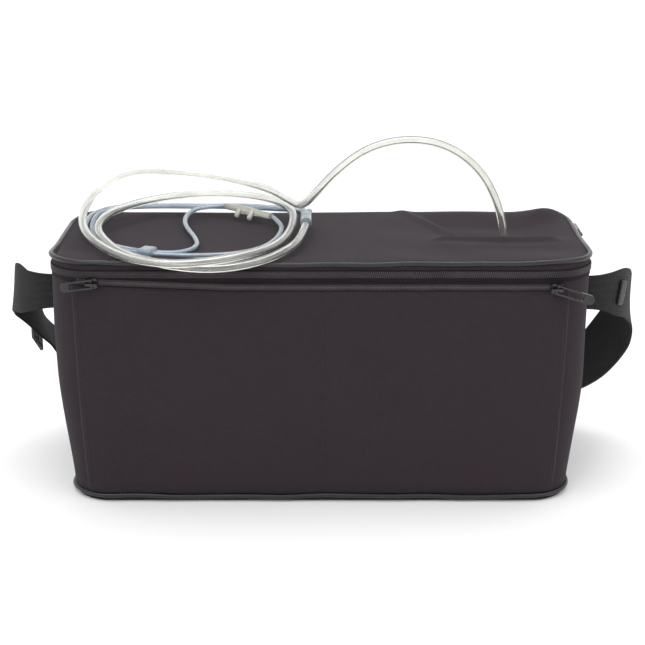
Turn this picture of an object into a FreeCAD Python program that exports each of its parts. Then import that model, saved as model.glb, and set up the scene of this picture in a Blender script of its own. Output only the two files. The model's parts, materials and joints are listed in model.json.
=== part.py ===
"""Portable oxygen concentrator in its soft shoulder bag, with a nasal cannula coiled on the lid.

Frame: millimetres, +Z up, +X to the right, the pocket side faces -Y.
Origin: centre of the bag's base, on the surface that it stands on.
"""
import FreeCAD, Part
import math
import os

V = FreeCAD.Vector
Z = V(0, 0, 1)

# ---- driving dimensions: bag ----
BASE_W, BASE_D = 400.0, 160.0      # footprint at the floor
WAIST_W, WAIST_D, WAIST_Z = 417.0, 167.0, 78.0   # the stuffed bag is full down to here
TOP_W, TOP_D = 420.0, 165.0        # footprint at the zip
CORNER_R = 34.0                    # rounded vertical corners
BASE_T = 2.0                       # base panel
WALL_T = 4.0                       # nylon, foam and lining sewn together
ZIP_Z = 189.0                      # main zip, round the front and both sides
LID_TOP = 198.0
LID_T = 3.0
SEAM_GAP = 0.4                     # between the parts of the bag and of the lid
PIPING_R = 2.2
CHAIN_T = 1.8                      # how far a zip chain stands out
CHAIN_H = 5.0                      # both halves of a zip chain
POCKET_W_TOP, POCKET_W_BASE = 383.0, 372.0
POCKET_TOP, POCKET_BASE = 175.5, 12.0
POCKET_T = 2.0
POCKET_ZIP_Z, POCKET_ZIP_HALF = 179.0, 186.0
POCKET_ZIP_RISE, POCKET_ZIP_BEND = 4.8, -70.0   # the chain climbs from the bend to its left end
SLIT_X0, SLIT_X1, SLIT_Y, SLIT_W = 99.0, 183.0, -10.0, 9.0   # slit in the lid for the tube

# ---- driving dimensions: zip sliders and pulls ----
SLIDER_L, SLIDER_H, SLIDER_T = 9.0, 8.0, 3.4
BAIL_W, BAIL_IN, BAIL_BAR = 2.0, 2.8, 1.2
PULL_T, PULL_W, PULL_SLOT = 1.6, 7.6, 4.6
MAIN_SLIDER_Y = 44.0
LEFT_SLIDER_X, RIGHT_SLIDER_X = -174.0, 180.0
PULL_LEN_SHORT, PULL_LEN_LONG = 24.0, 30.0
LEFT_PULL_TILT, RIGHT_PULL_TILT = 7.0, -18.0

# ---- driving dimensions: shoulder strap ----
STRAP_W, STRAP_T = 40.0, 1.8
# each point of the strap: x, y, z, and how far the webbing leans from upright there, in degrees
STRAP_ROUTE = [(-211, -27, 160, 0), (-226, -29, 160, 0), (-243, -22, 159, 3), (-251, -5, 157, 8),
               (-251, 12, 150, 0), (-245, 26, 134, -22), (-238, 38, 112, -42), (-228, 56, 86, -44),
               (-204, 88, 56, -16), (-162, 112, 33, 0), (-112, 120, 22, 0), (-60, 118, 21, 0),
               (-8, 124, 21, 0), (50, 120, 21, 0), (106, 122, 22, 0), (160, 114, 28, 0),
               (204, 96, 40, 6), (232, 76, 60, 12), (247, 60, 86, 16), (256, 44, 112, 16),
               (259, 22, 136, 8), (253, -2, 150, 0), (243, -20, 157, 0), (229, -28, 159, 0),
               (213, -28, 159, 0)]
STRAP_STATIONS = 110
GLIDE_AT, LOCK_AT = 0.236, 0.94    # share of the way along the strap
GLIDE_OFF, LOCK_OFF = -4.8, -2.7    # middle of each, off the webbing's middle
LOCK_TURN = -38

# ---- driving dimensions: cannula ----
TUBE_D, LARIAT_D = 6.5, 4.0
ARCH_ROUTE = [(149, -9, 186.6), (148.5, -9.5, 199), (142, -12, 228), (127, -17, 256),
              (101, -23, 277), (69, -29, 284), (37, -34, 278), (12, -37, 260), (-5, -33, 240),
              (-15, -12, 225.5), (-25, 24, 222)]
# the coil, one row for each eighth of a turn or so: angle in degrees, reach from its middle, height
COIL_MIDDLE = (-102, -12)
COIL_STATIONS = [(25, 85, 222), (75, 91, 229), (125, 106, 237), (175, 90, 217), (225, 85, 205),
                 (262, 99, 204), (284, 99, 206.5), (308, 89, 207), (335, 77, 204.5), (362, 78, 207.5),
                 (390, 91, 213), (412, 96, 215.5), (450, 87, 217), (505, 83, 212), (564, 74, 206.5),
                 (610, 84, 202), (640, 87, 196.5), (660, 97, 199.5), (684, 95, 204.5), (711, 88, 205.5),
                 (728, 91, 208.5)]
COIL_STEP = 20
LEFT_ROUTE = [(-14.5, 30, 211.5), (-22, 46, 209), (-40, 60, 206.3), (-66, 70, 206), (-94, 73, 205),
              (-124, 74, 205.5), (-150, 69, 206.5), (-171, 55, 208.5), (-184.5, 32, 209.5),
              (-187, 12, 207), (-184.5, -8, 203), (-172, -31, 200.3), (-153, -48, 200.2),
              (-133, -59, 200.3), (-114, -63, 200.4), (-101, -54.5, 200.4), (-96.5, -36, 200.4),
              (-102, -10, 200.6), (-110, 15, 201), (-114, 37, 202.5), (-111, 55, 205),
              (-101, 66, 207), (-81, 69, 207)]
SLIDE_AT = (-134, -61.5, 201.4)
RIGHT_ROUTE = [(-9.5, 29, 211.5), (-17, 49.5, 209), (-37, 65, 206.3), (-64.5, 75.5, 206),
               (-94, 78.2, 205), (-126, 79, 205.5), (-153, 73.8, 206.5), (-175, 58.5, 208.5),
               (-189.3, 33.5, 209.5), (-192, 11, 207), (-189.5, -10.5, 203), (-176, -35, 200.3),
               (-156, -52.5, 200.2), (-134, -64, 200.3), (-109, -69.5, 200.4), (-84, -69.5, 200.4),
               (-61, -62.5, 200.4), (-45, -46, 200.4), (-36, -23, 200.6), (-32, 0, 201.5),
               (-32, 19, 203.5), (-41.5, 36.5, 206)]

# ---- driving dimensions: the concentrator in the bag ----
CASE_W, CASE_D, CASE_R, CASE_WALL = 386.0, 136.0, 26.0, 2.5
CASE_Z0, CASE_SPLIT, CASE_Z1 = 5.0, 92.0, 168.0
PANEL_T = 1.2                      # control panel on the top deck
BARB_X, BARB_Y, BARB_R = 149.0, -9.0, 2.6
CONTROL_Y = -20.0
KNOB_X, KNOB_R, KNOB_H, KNOB_RIBS = 40.0, 15.0, 11.0, 18
BUTTONS = {"power_button": (-20.0, 7.0), "mute_button": (-66.0, 5.0)}
BUTTON_Z0, BUTTON_H = 164.5, 7.5
BOARD_Z = 152.0
INTAKE_X, INTAKE_W, INTAKE_D = -140.0, 56.0, 36.0
CRANK_X, CRANK_Z, CRANK_THROW = -20.0, 62.0, 5.0
CRANK_Y0, CRANK_Y1 = 6.0, 38.0
BORE_R, CYL_R, CYL_IN, CYL_LEN = 14.0, 17.0, 24.0, 36.0
MOTOR_R, MOTOR_LEN = 28.0, 58.0
BED_R, BED_X, BED_Y, BED_TOP = 20.0, (96.0, 142.0), 26.0, 150.0
FAN_X, FAN_Z, FAN_SIDE, FAN_BLADES = 174.0, 100.0, 60.0, 7

os.makedirs("parts", exist_ok=True)


def save(name, shape):
    """Write one sub-part."""
    shape.exportStep("parts/" + name + ".step")


# ---- shared shapes ----
def box(x0, y0, z0, x1, y1, z1):
    """Box between two corners."""
    return Part.makeBox(x1 - x0, y1 - y0, z1 - z0, V(x0, y0, z0))


def cylinder(r, start, axis, length):
    """Cylinder from a point along an axis."""
    return Part.makeCylinder(r, length, V(*start), V(*axis))


def fuse(shapes):
    """One clean solid from shapes that touch or overlap."""
    return shapes[0].multiFuse(shapes[1:]).removeSplitter()


def outline(w, d, r, z):
    """Rounded rectangle about the Z axis, as a wire."""
    hw, hd = w / 2.0, d / 2.0
    k = r * (1 - math.sqrt(0.5))
    edges = []
    corners = ((1, -1), (1, 1), (-1, 1), (-1, -1))
    for i, (sx, sy) in enumerate(corners):
        along_x = V(sx * (hw - r), sy * hd, z)
        along_y = V(sx * hw, sy * (hd - r), z)
        middle = V(sx * (hw - k), sy * (hd - k), z)
        start, end = (along_x, along_y) if i % 2 == 0 else (along_y, along_x)
        nx, ny = corners[(i + 1) % 4]
        following = V(nx * hw, ny * (hd - r), z) if i % 2 == 0 else V(nx * (hw - r), ny * hd, z)
        edges.append(Part.Arc(start, middle, end).toShape())
        edges.append(Part.LineSegment(end, following).toShape())
    return Part.Wire(edges)


def slab(w, d, r, z0, z1):
    """Plate with rounded corners."""
    return Part.Face(outline(w, d, r, z0)).extrude(V(0, 0, z1 - z0))


def footprint(z):
    """Width and depth of the bag's body at a height."""
    if z < WAIST_Z:
        t = z / WAIST_Z
        return BASE_W + (WAIST_W - BASE_W) * t, BASE_D + (WAIST_D - BASE_D) * t
    t = (z - WAIST_Z) / (ZIP_Z - WAIST_Z)
    return WAIST_W + (TOP_W - WAIST_W) * t, WAIST_D + (TOP_D - WAIST_D) * t


def bag_block(offset, z0, z1):
    """The bag's body between two heights, moved outwards by offset."""
    wires = []
    for z in [z0] + [WAIST_Z] * (z0 < WAIST_Z < z1) + [z1]:
        w, d = footprint(z)
        wires.append(outline(w + 2 * offset, d + 2 * offset, CORNER_R + offset, z))
    return Part.makeLoft(wires, True, True)


def rounded_path(points):
    """Straight runs joined by tangent arcs, each as large as its two runs allow."""
    pts = [V(*p) for p in points]
    edges, start, radii = [], pts[0], []
    for a, b, c in zip(pts, pts[1:], pts[2:]):
        u, w = (a - b).normalize(), (c - b).normalize()
        turn = math.pi - u.getAngle(w)
        reach = 0.45 * min((a - b).Length, (c - b).Length)
        radius = reach / math.tan(turn / 2)
        radii.append(radius)
        first, last = b + u * reach, b + w * reach
        inward = (u + w).normalize()
        middle = b + inward * (radius / math.cos(turn / 2) - radius)
        edges.append(Part.LineSegment(start, first).toShape())
        edges.append(Part.Arc(first, middle, last).toShape())
        start = last
    edges.append(Part.LineSegment(start, pts[-1]).toShape())
    return Part.Wire(edges), radii


def tube(name, points, diameter):
    """Round tube along a route; its radii and volume are printed."""
    path, radii = rounded_path(points)
    direction = V(*points[1]) - V(*points[0])
    ring = Part.Wire(Part.makeCircle(diameter / 2, V(*points[0]), direction))
    shape = path.makePipeShell([ring], True, False)
    expected = math.pi * diameter ** 2 / 4 * path.Length
    print("%s length %.0f, radii %.0f to %.0f, volume %.3f of section x length, valid %s" % (
        name, path.Length, min(radii), max(radii), shape.Volume / expected, shape.isValid()))
    return shape


def coil_points():
    """Points of the coil's turns, anticlockwise from above, one every COIL_STEP degrees."""
    first, last = COIL_STATIONS[0][0], COIL_STATIONS[-1][0]
    count = round((last - first) / COIL_STEP)
    points = []
    for i in range(1, count + 1):
        angle = first + (last - first) * i / count
        row = max(k for k in range(len(COIL_STATIONS) - 1) if COIL_STATIONS[k][0] <= angle)
        low, high = COIL_STATIONS[row:row + 2]
        share = (angle - low[0]) / (high[0] - low[0])
        reach, height = (low[k] + (high[k] - low[k]) * share for k in (1, 2))
        turn = math.radians(angle)
        x, y = COIL_MIDDLE[0] + reach * math.cos(turn), COIL_MIDDLE[1] + reach * math.sin(turn)
        points.append((x, y, height))
    return points


def strap_frame(share):
    """Centre of the strap, its direction, its width direction and its face, part of the way along."""
    curve = Part.BSplineCurve()
    curve.buildFromPoles([V(*p[:3]) for p in STRAP_ROUTE], False, 2)
    at = curve.FirstParameter + (curve.LastParameter - curve.FirstParameter) * share
    along = V(*curve.tangent(at)[0])
    k = share * (len(STRAP_ROUTE) - 1)
    low = min(int(k), len(STRAP_ROUTE) - 2)
    lean = STRAP_ROUTE[low][3] + (STRAP_ROUTE[low + 1][3] - STRAP_ROUTE[low][3]) * (k - low)
    side = along.cross(Z).normalize()
    turn = math.radians(lean)
    across = side.cross(along) * math.cos(turn) + side * math.sin(turn)
    return curve.value(at), along, across, along.cross(across).normalize()


def ribbon(width, thickness, count):
    """Webbing along the strap's route, standing on edge but for its lean at each point."""
    wires = []
    for i in range(count):
        centre, _, across, face = strap_frame(i / (count - 1))
        up, out = across * (width / 2), face * (thickness / 2)
        corners = [centre - up - out, centre - up + out, centre + up + out, centre + up - out]
        wires.append(Part.makePolygon(corners + corners[:1]))
    shape = Part.makeLoft(wires, True, True)
    print("strap faces %d, valid %s" % (len(shape.Faces), shape.isValid()))
    return shape


def on_strap(shape, share, offset):
    """Shape moved from the origin onto the strap: X along it, Y across it, Z off its face."""
    centre, along, across, face = strap_frame(share)
    moved = shape.copy()
    turned = FreeCAD.Rotation(along, across, face, "XZY")
    moved.Placement = FreeCAD.Placement(centre + face * offset, turned)
    return moved


# ---- bag ----
def bag_walls():
    """Front, back, left and right walls between the base and the main zip."""
    top = ZIP_Z - SEAM_GAP / 2
    ring = bag_block(0, BASE_T, top).cut(bag_block(-WALL_T, BASE_T - 1, top + 1))
    straight = TOP_D / 2 - CORNER_R
    far = TOP_W
    front = ring.common(box(-far, -far, 0, far, -straight, far))
    back = ring.common(box(-far, straight, 0, far, far, far))
    left = ring.common(box(-far, -straight, 0, 0, straight, far))
    right = ring.common(box(0, -straight, 0, far, straight, far))
    return {"front_wall": front, "back_wall": back, "left_wall": left, "right_wall": right}


def bag_base():
    """Base panel, the foam pad on it and the piping round it."""
    panel = slab(BASE_W - 1, BASE_D - 1, CORNER_R - 0.5, 0, BASE_T)
    pad = slab(BASE_W - 2 * WALL_T - 4, BASE_D - 2 * WALL_T - 4, CORNER_R - WALL_T, BASE_T, CASE_Z0)
    ring = bag_block(PIPING_R, 2 * BASE_T - PIPING_R + 0.4, 2 * BASE_T + PIPING_R)
    piping = ring.cut(bag_block(0, 0, 20))
    return {"base_panel": panel, "base_foam_pad": pad, "base_piping": piping}


def pocket_zip_height(x):
    """Height of the pocket zip's middle line."""
    climb = max(0.0, POCKET_ZIP_BEND - x) / (POCKET_ZIP_BEND + POCKET_ZIP_HALF)
    return POCKET_ZIP_Z + POCKET_ZIP_RISE * climb


def front_pocket():
    """Flat outer panel of the front pocket and its closed zip chain."""
    skin = bag_block(POCKET_T, BASE_T, ZIP_Z - 1).cut(bag_block(0, 0, ZIP_Z))
    half_top, half_base = POCKET_W_TOP / 2, POCKET_W_BASE / 2
    corners = [V(-half_base, -200, POCKET_BASE), V(half_base, -200, POCKET_BASE),
               V(half_top, -200, POCKET_TOP), V(-half_top, -200, POCKET_TOP)]
    front = Part.Face(Part.makePolygon(corners + corners[:1])).extrude(V(0, 150, 0))
    line = [(x, pocket_zip_height(x)) for x in (-POCKET_ZIP_HALF, POCKET_ZIP_BEND, POCKET_ZIP_HALF)]
    half = CHAIN_H / 2
    band = [V(x, -200, z - half) for x, z in line] + [V(x, -200, z + half) for x, z in line[::-1]]
    band = Part.Face(Part.makePolygon(band + band[:1])).extrude(V(0, 150, 0))
    chain = bag_block(CHAIN_T, BASE_T, ZIP_Z - 1).cut(bag_block(0, 0, ZIP_Z)).common(band)
    return {"front_pocket_panel": skin.common(front), "pocket_zip_chain": chain}


def main_zip():
    """Lower and upper halves of the main zip chain, open at the back."""
    keep = box(-300, -200, 0, 300, TOP_D / 2 - CORNER_R, 300)
    half = CHAIN_H / 2
    lower = bag_block(CHAIN_T, ZIP_Z - half, ZIP_Z - SEAM_GAP / 2).cut(bag_block(0, 0, ZIP_Z))
    upper = slab(TOP_W + 2 * CHAIN_T, TOP_D + 2 * CHAIN_T, CORNER_R + CHAIN_T,
                 ZIP_Z + SEAM_GAP / 2, ZIP_Z + half)
    upper = upper.cut(slab(TOP_W, TOP_D, CORNER_R, ZIP_Z, LID_TOP))
    return {"main_zip_lower_chain": lower.common(keep), "main_zip_upper_chain": upper.common(keep)}


def lid():
    """Lid panel with the tube slit, its band and its piping."""
    deck = LID_TOP - LID_T
    panel = slab(TOP_W, TOP_D, CORNER_R, deck, LID_TOP)
    slot = box(SLIT_X0, SLIT_Y - SLIT_W / 2, deck - 1, SLIT_X1, SLIT_Y + SLIT_W / 2, LID_TOP + 1)
    band = slab(TOP_W, TOP_D, CORNER_R, ZIP_Z + SEAM_GAP / 2, deck)
    band = band.cut(slab(TOP_W - 2 * WALL_T, TOP_D - 2 * WALL_T, CORNER_R - WALL_T, ZIP_Z - 1, LID_TOP))
    piping = slab(TOP_W + 2 * PIPING_R, TOP_D + 2 * PIPING_R, CORNER_R + PIPING_R,
                  LID_TOP - 2 * PIPING_R, LID_TOP)
    piping = piping.cut(slab(TOP_W, TOP_D, CORNER_R, ZIP_Z, LID_TOP + 1))
    return {"lid_panel": panel.cut(slot), "lid_band": band, "lid_piping": piping}


# ---- zip sliders and pulls, made about the crossbar of the pull ----
def slider():
    """Slider body with its bail, travel along X, outwards is -Y, origin on the pull's axis."""
    base = BAIL_IN / 2 + 0.2
    body = box(-SLIDER_L / 2, base, -SLIDER_H / 2, SLIDER_L / 2, base + SLIDER_T, SLIDER_H / 2)
    edges = [e for e in body.Edges if abs(e.Vertexes[0].Y - e.Vertexes[-1].Y) > 1]
    body = body.makeFillet(2.2, edges)
    out = BAIL_IN / 2 + 0.2 + BAIL_BAR
    bail = box(-SLIDER_L / 2, -out, -BAIL_W / 2, SLIDER_L / 2, base, BAIL_W / 2)
    gap = box(-SLIDER_L / 2 + BAIL_BAR, -base, -BAIL_W, SLIDER_L / 2 - BAIL_BAR, base, BAIL_W)
    return fuse([body, bail.cut(gap)])


def pull(length):
    """Loop-shaped pull along +X with its crossbar on the origin."""
    bar = (PULL_W - PULL_SLOT) / 2
    plate = box(-bar / 2, -PULL_T / 2, -PULL_W / 2, length, PULL_T / 2, PULL_W / 2)
    corners = [e for e in plate.Edges if abs(e.Vertexes[0].Y - e.Vertexes[-1].Y) > 1]
    plate = plate.makeFillet(PULL_W / 2 - 0.4, [e for e in corners if e.Vertexes[0].X > 0])
    slot = box(bar / 2, -PULL_T, -PULL_SLOT / 2, length * 0.72, PULL_T, PULL_SLOT / 2)
    return plate.cut(slot)


def placed(shape, position, turn_z=0, tilt=0):
    """Shape tilted about Y, then turned about Z and moved."""
    moved = shape.copy()
    moved.rotate(V(0, 0, 0), V(0, 1, 0), tilt)
    moved.rotate(V(0, 0, 0), Z, turn_z)
    moved.translate(V(*position))
    return moved


def zip_hardware():
    """Three sliders and their pulls."""
    stand = CHAIN_T + 0.3 + SLIDER_T + BAIL_IN / 2 + 0.2
    front_y = -footprint(POCKET_ZIP_Z)[1] / 2 - stand
    slope = math.degrees(math.atan(POCKET_ZIP_RISE / (POCKET_ZIP_BEND + POCKET_ZIP_HALF)))
    main_at = (TOP_W / 2 + stand, MAIN_SLIDER_Y, ZIP_Z)
    left_at = (LEFT_SLIDER_X, front_y, pocket_zip_height(LEFT_SLIDER_X))
    right_at = (RIGHT_SLIDER_X, front_y, POCKET_ZIP_Z)
    print("pull axes", main_at, left_at, right_at, "left slider slopes %.2f degrees" % slope)
    return {
        "main_slider": placed(slider(), main_at, 90),
        "main_pull": placed(pull(PULL_LEN_SHORT), main_at, 90),
        "pocket_slider_left": placed(slider(), left_at, 0, slope),
        "pocket_pull_left": placed(pull(PULL_LEN_SHORT), left_at, 180, LEFT_PULL_TILT),
        "pocket_slider_right": placed(slider(), right_at),
        "pocket_pull_right": placed(pull(PULL_LEN_LONG), right_at, 0, -RIGHT_PULL_TILT)}


# ---- shoulder strap ----
def strap():
    """Shoulder strap, its sewn end tabs, its tri-glide and its ladder lock."""
    glide = box(-9, -24, -1.2, 9, 24, 1.2)
    for x in (-6.5, 1.5):
        glide = glide.cut(box(x, -20.5, -2, x + 5, 20.5, 2))
    tab = box(-3.5, -10, -1.5, 3.5, 10, 1.5)
    tab = tab.makeFillet(1.4, tab.Edges)
    tab.rotate(V(0, 0, 0), Z, LOCK_TURN)
    webbing = ribbon(STRAP_W, STRAP_T, STRAP_STATIONS)
    glide = on_strap(glide, GLIDE_AT, GLIDE_OFF)
    tab = on_strap(tab, LOCK_AT, LOCK_OFF)
    return {"shoulder_strap": webbing, "strap_tri_glide": glide, "strap_lock_tab": tab}


# ---- cannula ----
def cannula():
    """Supply tube, Y connector, the two lariat tubes, their slide and the nosepiece."""
    supply = tube("supply_tube", ARCH_ROUTE + coil_points(), TUBE_D)
    return {"supply_tube": supply,
            "lariat_tube_left": tube("lariat_tube_left", LEFT_ROUTE, LARIAT_D),
            "lariat_tube_right": tube("lariat_tube_right", RIGHT_ROUTE, LARIAT_D)}


def between(r, start, end):
    """Round bar from one point to another."""
    axis = V(*end) - V(*start)
    return Part.makeCylinder(r, axis.Length, V(*start), axis)


def nosepiece():
    """Soft nosepiece between the two lariat ends, with two prongs."""
    left, right = V(*LEFT_ROUTE[-1]), V(*RIGHT_ROUTE[-1])
    along = (right - left).normalize()
    middle = (left + right) * 0.5
    bar = between(3.1, left, right)
    saddle = between(4.2, middle - along * 12, middle + along * 12)
    prongs = [between(2.2, middle + along * k, middle + along * k + V(-3, -6, -4.5)) for k in (-7, 7)]
    return fuse([bar, saddle] + prongs)


def cannula_fittings():
    """Y connector, bolo slide, nosepiece, and the cup connector on the unit's outlet."""
    start, left, right = V(*coil_points()[-1]), V(*LEFT_ROUTE[0]), V(*RIGHT_ROUTE[0])
    fork = start + ((left + right) * 0.5 - start) * 0.72
    wye = fuse([between(4.8, start, fork), between(3.0, fork - V(0, 4, 0.5), left),
                between(3.0, fork - V(0, 4, 0.5), right)])
    slide = box(-6, -6.8, -3.3, 6, 6.8, 3.3)
    slide = slide.makeFillet(2.2, slide.Edges)
    slide.rotate(V(0, 0, 0), Z, -22)
    slide.translate(V(*SLIDE_AT))
    foot = CASE_Z1 + 3
    cup = fuse([cylinder(6.0, (BARB_X, BARB_Y, foot), (0, 0, 1), 10),
                cylinder(TUBE_D / 2, (BARB_X, BARB_Y, foot), (0, 0, 1), 15)])
    cup = cup.cut(cylinder(BARB_R + 0.1, (BARB_X, BARB_Y, foot), (0, 0, 1), 9.5))
    return {"y_connector": wye, "bolo_slide": slide, "nosepiece": nosepiece(),
            "outlet_cup_connector": cup}


# ---- concentrator: case and controls ----
def slots(x0, x1, y0, y1, z0, z1, count):
    """Row of equal slots along X, each long in Y."""
    pitch = (x1 - x0) / count
    return [box(x0 + i * pitch + pitch * 0.25, y0, z0, x0 + i * pitch + pitch * 0.75, y1, z1)
            for i in range(count)]


def case():
    """Lower and upper shells with their vents, and the screws."""
    inner = slab(CASE_W - 2 * CASE_WALL, CASE_D - 2 * CASE_WALL, CASE_R - CASE_WALL,
                 CASE_Z0 + CASE_WALL, CASE_Z1 - CASE_WALL)
    lower = slab(CASE_W, CASE_D, CASE_R, CASE_Z0, CASE_SPLIT).cut(inner)
    upper = slab(CASE_W, CASE_D, CASE_R, CASE_SPLIT, CASE_Z1).cut(inner)
    half = FAN_SIDE / 2 - 2
    window = box(CASE_W / 2 - 5, -half, FAN_Z - half, CASE_W / 2 + 5, half, FAN_Z + half)
    top = CASE_Z1 - 10
    holes = [cylinder(3.4, (KNOB_X, CONTROL_Y, top), (0, 0, 1), 20)]
    holes += [cylinder(r + 0.4, (x, CONTROL_Y, top), (0, 0, 1), 20) for x, r in BUTTONS.values()]
    holes.append(box(INTAKE_X - INTAKE_W / 2 + 3, -INTAKE_D / 2 + 3, top,
                     INTAKE_X + INTAKE_W / 2 - 3, INTAKE_D / 2 - 3, CASE_Z1 + 1))
    holes.append(cylinder(6.0, (-150, 42, top), (0, 0, 1), 20))
    at = [(sx * (CASE_W / 2 - 14), sy * (CASE_D / 2 - 14)) for sx in (-1, 1) for sy in (-1, 1)]
    holes += [cylinder(1.7, (x, y, top), (0, 0, 1), 20) for x, y in at]
    screws = [fuse([cylinder(1.6, (x, y, top), (0, 0, 1), CASE_Z1 - top),
                    cylinder(3.2, (x, y, CASE_Z1), (0, 0, 1), 1.6)]) for x, y in at]
    lower = lower.cut(window)
    upper = upper.cut(window)
    for hole in holes:
        upper = upper.cut(hole)
    return {"case_lower": lower, "case_upper": upper, "case_screws": Part.Compound(screws)}


def vents():
    """Intake grille with its foam filter, and the exhaust grille behind the fan."""
    x0, x1 = INTAKE_X - INTAKE_W / 2, INTAKE_X + INTAKE_W / 2
    y0, y1 = -INTAKE_D / 2, INTAKE_D / 2
    grille = box(x0, y0, CASE_Z1, x1, y1, CASE_Z1 + 1.6)
    for slot in slots(x0 + 4, x1 - 4, y0 + 4, y1 - 4, CASE_Z1 - 1, CASE_Z1 + 3, 12):
        grille = grille.cut(slot)
    foam = box(x0 + 4, y0 + 4, CASE_Z1 - 9, x1 - 4, y1 - 4, CASE_Z1 - CASE_WALL - 0.2)
    half = FAN_SIDE / 2 - 2
    side = CASE_W / 2
    exhaust = box(side - CASE_WALL, -half, FAN_Z - half, side, half, FAN_Z + half)
    for i in range(9):
        z = FAN_Z - half + 4 + i * (2 * half - 8) / 9
        exhaust = exhaust.cut(box(side - 4, -half + 4, z, side + 1, half - 4, z + 3.2))
    return {"intake_grille": grille, "intake_filter": foam, "exhaust_grille": exhaust}


def controls():
    """Control panel, flow knob and valve, buttons, lights, outlet barb and power socket."""
    deck = CASE_Z1
    panel = box(-95, CONTROL_Y - 24, deck, 70, CONTROL_Y + 22, deck + PANEL_T)
    uprights = [e for e in panel.Edges if abs(e.Vertexes[0].Z - e.Vertexes[-1].Z) > 1]
    panel = panel.makeFillet(5, uprights).cut(cylinder(3.4, (KNOB_X, CONTROL_Y, deck), (0, 0, 1), 5))
    for x, r in BUTTONS.values():
        panel = panel.cut(cylinder(r + 0.4, (x, CONTROL_Y, deck - 1), (0, 0, 1), 5))
    knob_z = deck + PANEL_T + 0.3
    knob = cylinder(KNOB_R, (KNOB_X, CONTROL_Y, knob_z), (0, 0, 1), KNOB_H)
    for i in range(KNOB_RIBS):
        a = 2 * math.pi * i / KNOB_RIBS
        groove = (KNOB_X + KNOB_R * math.cos(a), CONTROL_Y + KNOB_R * math.sin(a), knob_z + 2)
        knob = knob.cut(cylinder(1.0, groove, (0, 0, 1), KNOB_H))
    pointer = box(KNOB_X - 0.8, CONTROL_Y + 3, knob_z + KNOB_H - 0.6,
                  KNOB_X + 0.8, CONTROL_Y + 13, knob_z + KNOB_H + 1)
    knob = fuse([knob.cut(pointer), cylinder(3.0, (KNOB_X, CONTROL_Y, deck - 6), (0, 0, 1), 8)])
    valve = box(KNOB_X - 13, CONTROL_Y - 12, deck - 28, KNOB_X + 13, CONTROL_Y + 12, deck - 6.4)
    lamps = [cylinder(1.6, (-44 + i * 14, CONTROL_Y + 14, deck + PANEL_T), (0, 0, 1), 0.9)
             for i in range(4)]
    barb = fuse([cylinder(7.5, (BARB_X, BARB_Y, deck), (0, 0, 1), 3),
                 cylinder(BARB_R, (BARB_X, BARB_Y, deck + 2), (0, 0, 1), 10)])
    socket = cylinder(5.6, (-150, 42, deck - 9), (0, 0, 1), 9).fuse(
        cylinder(8.0, (-150, 42, deck), (0, 0, 1), 1.5))
    socket = socket.cut(cylinder(3.4, (-150, 42, deck - 6), (0, 0, 1), 9))
    pin = cylinder(1.0, (-150, 42, deck - 7), (0, 0, 1), 6)
    parts = {"control_panel": panel, "flow_knob": knob, "flow_valve": valve,
             "indicator_lights": Part.Compound(lamps), "outlet_barb": barb,
             "power_socket": fuse([socket, pin])}
    for name, (x, r) in BUTTONS.items():
        button = cylinder(r, (x, CONTROL_Y, BUTTON_Z0), (0, 0, 1), BUTTON_H)
        rim = [e for e in button.Edges if e.BoundBox.ZMin > BUTTON_Z0 + BUTTON_H - 0.1]
        parts[name] = button.makeFillet(1.0, rim)
    return parts


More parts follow.
